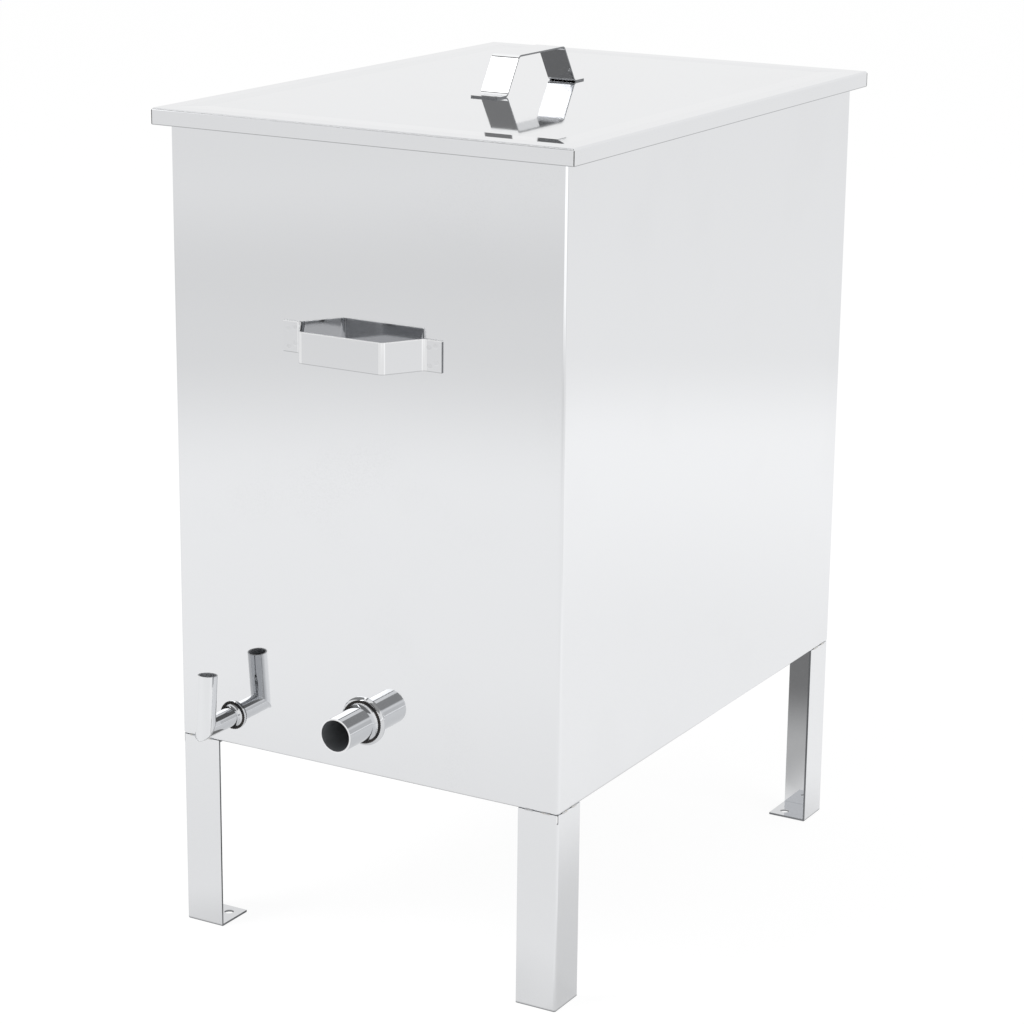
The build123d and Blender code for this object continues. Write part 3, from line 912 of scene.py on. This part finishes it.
fill_radius = mounts["fill_end"]["dims"]["r_mm"] * MM
elbow = fill_at + fill_axis * ((spigot_at.z - fill_at.z) / fill_axis.z)
mitre_rise = fill_axis.z / (1 - fill_axis.y)
mitre_beads = bmesh.new()
mitre = circle(elbow, RIGHTWARD * fill_radius, Vector((0, mitre_rise * fill_radius, fill_radius)))
mitre_side = Vector((0, 1, -mitre_rise)).normalized()
mitre_length = 2 * math.pi * fill_radius * OVAL_LENGTH
add_bead(mitre_beads, mitre, mitre_length, mitre_side, MITRE_BEAD, MITRE_PITCH, closed=True)
piece_from("elbow_mitre_weld", mitre_beads, "tank", dressed_weld)

# %% [markdown]
# The lid's rims meet at the corners in an upright seam that was run shut and ground, the wrap is closed
# by one long seam down the rear wall, and the legs hang on short stitches under the tank's bottom edge.

# %% Lid corners and rear seam
CORNER_BEAD = 0.45 * MM
CORNER_PITCH = 1.2 * MM
CORNER_INSET = 0.3 * MM
CORNER_FOOT = 0.3 * MM
CORNER_TOP = 1.8 * MM
SEAM_BEAD = 1.1 * MM
SEAM_PITCH = 2 * MM
SEAM_INSET = 0.6 * MM
SEAM_END = 4 * MM

corner_beads = bmesh.new()
for x in (lid_low.x, lid_high.x):
    for y in (lid_low.y, lid_high.y):
        at = Vector((x - math.copysign(CORNER_INSET, x), y - math.copysign(CORNER_INSET, y), 0))
        line = straight(at + UPWARD * (lid_low.z + CORNER_FOOT), at + UPWARD * (lid_high.z - CORNER_TOP))
        add_bead(corner_beads, line, lid_high.z - lid_low.z, RIGHTWARD, CORNER_BEAD, CORNER_PITCH)
piece_from("lid_corner_welds", corner_beads, "lid", near_black_weld)

rear_seam = bmesh.new()
seam_foot = REARWARD * (-WALL_FRONT - SEAM_INSET)
seam_low = seam_foot + UPWARD * (tank_low.z + SEAM_END)
seam_high = seam_foot + UPWARD * (tank_high.z - SEAM_END)
rear_line = straight(seam_low, seam_high)
add_bead(rear_seam, rear_line, tank_high.z - tank_low.z, RIGHTWARD, SEAM_BEAD, SEAM_PITCH)
piece_from("rear_wall_seam", rear_seam, "tank", bright_weld)

# %% Leg stitches
STITCH_BEAD = 0.8 * MM
STITCH_PITCH = 1.5 * MM
STITCH = 9 * MM
STITCH_PLACES = (0.3, 0.72)

stitches = bmesh.new()
for leg in LEGS:
    low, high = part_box(leg)
    outer = Vector((max(low.x, high.x, key=abs), max(low.y, high.y, key=abs), high.z))
    inner = Vector((min(low.x, high.x, key=abs), min(low.y, high.y, key=abs), high.z))
    for share in STITCH_PLACES:
        for way in (RIGHTWARD * (inner.x - outer.x), REARWARD * (inner.y - outer.y)):
            middle = outer + way * share
            half = way.normalized() * STITCH / 2
            line = straight(middle - half, middle + half)
            add_bead(stitches, line, STITCH, UPWARD, STITCH_BEAD, STITCH_PITCH)
piece_from("leg_stitch_welds", stitches, "tank", bright_weld)

# %% [markdown]
# A spot weld is pressed between two round electrodes. It leaves a dished disc with a low ring round it,
# so each spot is a small profile turned about its own axis. Four of them hold each tab of the three strap
# handles.

# %% One spot weld
SPOT_PROFILE = ((0.9, 0.02), (1.5, 0.022), (1.9, 0.034), (2.3, 0.026), (2.9, -0.03))
SPOT_SIDES = 20


def add_spot(shape, at, along, across, normal):
    rings = []
    for radius, height in SPOT_PROFILE:
        centre = at + normal * height * MM
        rings.append(ring_of(shape, centre, along, across, radius * MM, SPOT_SIDES))
    middle = shape.verts.new(at + normal * SPOT_PROFILE[0][1] * MM)
    for side in range(SPOT_SIDES):
        shape.faces.new((middle, rings[0][side], rings[0][(side + 1) % SPOT_SIDES]))
    for first, second in zip(rings, rings[1:]):
        join_rings(shape, first, second)


print("spot weld", 2 * SPOT_PROFILE[-1][0], "mm across")

# %% Spot welds on the handle tabs
TAB = 18 * MM
SPOT_PLACES = ((-3.6, 7.0), (3.0, 9.0), (-3.0, -9.0), (3.6, -5.5))
STRAP_SHEET = 1.5 * MM
HANDLES = (
    ("front_handle", "tank", RIGHTWARD, UPWARD, -REARWARD),
    ("rear_handle", "tank", RIGHTWARD, UPWARD, REARWARD),
    ("lid_handle", "lid", REARWARD, RIGHTWARD, UPWARD),
)
for node, body, along, across, normal in HANDLES:
    low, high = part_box(node)
    middle = (low + high) / 2
    half_length = (high - low).dot(along) / 2
    seat = min(abs(low.dot(normal)), abs(high.dot(normal)))
    base = middle - normal * middle.dot(normal) + normal * (seat + STRAP_SHEET)
    spots = bmesh.new()
    for end in (-1, 1):
        tab = base + along * end * (half_length - TAB / 2)
        for shift, rise in SPOT_PLACES:
            add_spot(spots, tab + along * shift * MM + across * rise * MM, along, across, normal)
    piece_from(node + "_spot_welds", spots, body, dressed_weld)

# %% [markdown]
# Inside, the basket's panels are tacked together at the corners, with four short beads in each. They show
# only when the basket is lifted out, and they could be left out of a picture of the closed melter, but the
# lid and the basket move here.

# %% Basket tacks
TACK_BEAD = 1.1 * MM
TACK_PITCH = 1.6 * MM
TACK = 7 * MM
TACK_HEIGHTS = (0.08, 0.36, 0.64, 0.92)
INSET_X = 0.9 * MM
INSET_Y = 0.3 * MM

tacks = bmesh.new()
basket_low, basket_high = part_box("basket_right")
front_low, front_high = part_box("basket_front")
for x in (-basket_high.x, basket_high.x):
    for y in (front_low.y, -front_low.y):
        for share in TACK_HEIGHTS:
            height = basket_low.z + share * (basket_high.z - basket_low.z)
            at = Vector((x - math.copysign(INSET_X, x), y - math.copysign(INSET_Y, y), height))
            half = UPWARD * TACK / 2
            add_bead(tacks, straight(at - half, at + half), TACK, RIGHTWARD, TACK_BEAD, TACK_PITCH)
piece_from("basket_corner_tacks", tacks, "basket", bright_weld)
